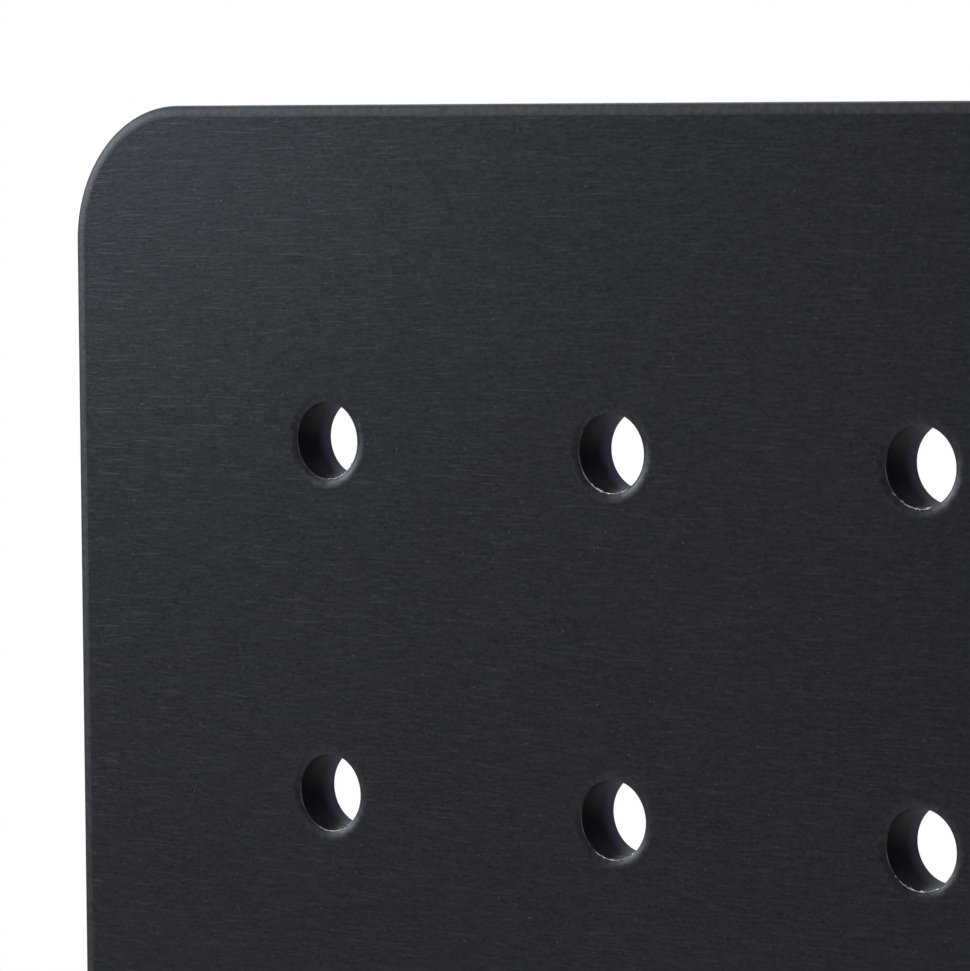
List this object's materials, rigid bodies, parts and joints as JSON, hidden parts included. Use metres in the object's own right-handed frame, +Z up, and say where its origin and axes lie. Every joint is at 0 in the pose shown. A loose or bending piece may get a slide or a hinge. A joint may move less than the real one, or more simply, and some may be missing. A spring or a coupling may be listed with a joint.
{
  "type": "gondola shelving unit",
  "caption": "Single-sided gondola bay: black perforated metal back panels on two posts, a base deck with kick plate, and hook-on shelves with price rails, on levelling feet.",
  "frame": {"origin": "on the floor, at the middle of the unit's width and depth", "axes": "+X to the right of a person who faces the shelves, -Y to the front, +Z up"},
  "size_m": [0.9116, 0.5, 1.3716],
  "materials": {
    "panel_black": "black anodised over a fine brushed grain that runs along X",
    "frame_black": "fine textured black powder coat",
    "shelf_black": "satin black powder coat",
    "screw_black": "black oxide",
    "zinc": "bright zinc plate",
    "rail_grey": "extruded dark grey plastic",
    "label_white": "plain white insert",
    "plastic_black": "moulded black"
  },
  "bodies": {
    "frame": {"base_rail_front": "frame_black", "base_rail_rear": "frame_black", "base_rail_left": "frame_black", "base_rail_right": "frame_black", "post_spigot_left": "frame_black", "post_spigot_right": "frame_black", "post_left": "frame_black", "post_right": "frame_black", "post_cap_left": "plastic_black", "post_cap_right": "plastic_black", "cross_rail_upper": "frame_black", "cross_rail_lower": "frame_black", "back_panel_lower": "panel_black", "back_panel_middle": "panel_black", "back_panel_upper": "panel_black", "panel_screws": "screw_black", "panel_rivet_nuts": "zinc", "post_bolts": "zinc", "cross_rail_bolts": "zinc", "kick_plate": "frame_black", "kick_plate_screws": "screw_black", "foot_weld_nuts": "zinc", "foot_lock_nuts": "zinc"},
    "deck": {"base_deck": "shelf_black", "deck_channels": "shelf_black", "deck_price_rail": "rail_grey", "deck_label_strip": "label_white"},
    "lower_shelf": {"shelf_lower": "shelf_black", "shelf_stiffener_lower": "shelf_black", "bracket_left_lower": "shelf_black", "bracket_right_lower": "shelf_black", "price_rail_lower": "rail_grey", "label_strip_lower": "label_white"},
    "middle_shelf": {"shelf_middle": "shelf_black", "shelf_stiffener_middle": "shelf_black", "bracket_left_middle": "shelf_black", "bracket_right_middle": "shelf_black", "price_rail_middle": "rail_grey", "label_strip_middle": "label_white"},
    "upper_shelf": {"shelf_upper": "shelf_black", "shelf_stiffener_upper": "shelf_black", "bracket_left_upper": "shelf_black", "bracket_right_upper": "shelf_black", "price_rail_upper": "rail_grey", "label_strip_upper": "label_white"},
    "pad_front_left": {"foot_pad_front_left": "plastic_black"},
    "stud_front_left": {"foot_stud_front_left": "zinc"},
    "pad_front_right": {"foot_pad_front_right": "plastic_black"},
    "stud_front_right": {"foot_stud_front_right": "zinc"},
    "pad_rear_left": {"foot_pad_rear_left": "plastic_black"},
    "stud_rear_left": {"foot_stud_rear_left": "zinc"},
    "pad_rear_right": {"foot_pad_rear_right": "plastic_black"},
    "stud_rear_right": {"foot_stud_rear_right": "zinc"}
  },
  "joints": [
    {"name": "lower_shelf_tilt", "type": "hinge", "parent": "frame", "child": "lower_shelf", "pos_m": [0, 0.2119, 0.495], "axis": [-1, 0, 0], "range_deg": [0, 30]},
    {"name": "middle_shelf_tilt", "type": "hinge", "parent": "frame", "child": "middle_shelf", "pos_m": [0, 0.2119, 0.8252], "axis": [-1, 0, 0], "range_deg": [0, 30]},
    {"name": "upper_shelf_tilt", "type": "hinge", "parent": "frame", "child": "upper_shelf", "pos_m": [0, 0.2119, 1.1554], "axis": [-1, 0, 0], "range_deg": [0, 30]},
    {"name": "deck_lift", "type": "slide", "parent": "frame", "child": "deck", "axis": [0, 0, 1], "range_m": [0, 0.1]},
    {"name": "foot_travel_front_left", "type": "slide", "parent": "frame", "child": "pad_front_left", "axis": [0, 0, 1], "range_m": [-0.024, 0]},
    {"name": "foot_turn_front_left", "type": "hinge", "parent": "pad_front_left", "child": "stud_front_left", "pos_m": [-0.427, -0.19, 0.02], "axis": [0, 0, 1], "range_deg": [-5760, 0]},
    {"name": "foot_travel_front_right", "type": "slide", "parent": "frame", "child": "pad_front_right", "axis": [0, 0, 1], "range_m": [-0.024, 0]},
    {"name": "foot_turn_front_right", "type": "hinge", "parent": "pad_front_right", "child": "stud_front_right", "pos_m": [0.427, -0.19, 0.02], "axis": [0, 0, 1], "range_deg": [-5760, 0]},
    {"name": "foot_travel_rear_left", "type": "slide", "parent": "frame", "child": "pad_rear_left", "axis": [0, 0, 1], "range_m": [-0.024, 0]},
    {"name": "foot_turn_rear_left", "type": "hinge", "parent": "pad_rear_left", "child": "stud_rear_left", "pos_m": [-0.427, 0.1927, 0.02], "axis": [0, 0, 1], "range_deg": [-5760, 0]},
    {"name": "foot_travel_rear_right", "type": "slide", "parent": "frame", "child": "pad_rear_right", "axis": [0, 0, 1], "range_m": [-0.024, 0]},
    {"name": "foot_turn_rear_right", "type": "hinge", "parent": "pad_rear_right", "child": "stud_rear_right", "pos_m": [0.427, 0.1927, 0.02], "axis": [0, 0, 1], "range_deg": [-5760, 0]}
  ],
  "couplings": [
    {"joint": "foot_turn_front_left", "follows": "foot_travel_front_left", "rad_per_m": 4188.8},
    {"joint": "foot_turn_front_right", "follows": "foot_travel_front_right", "rad_per_m": 4188.8},
    {"joint": "foot_turn_rear_left", "follows": "foot_travel_rear_left", "rad_per_m": 4188.8},
    {"joint": "foot_turn_rear_right", "follows": "foot_travel_rear_right", "rad_per_m": 4188.8}
  ]
}
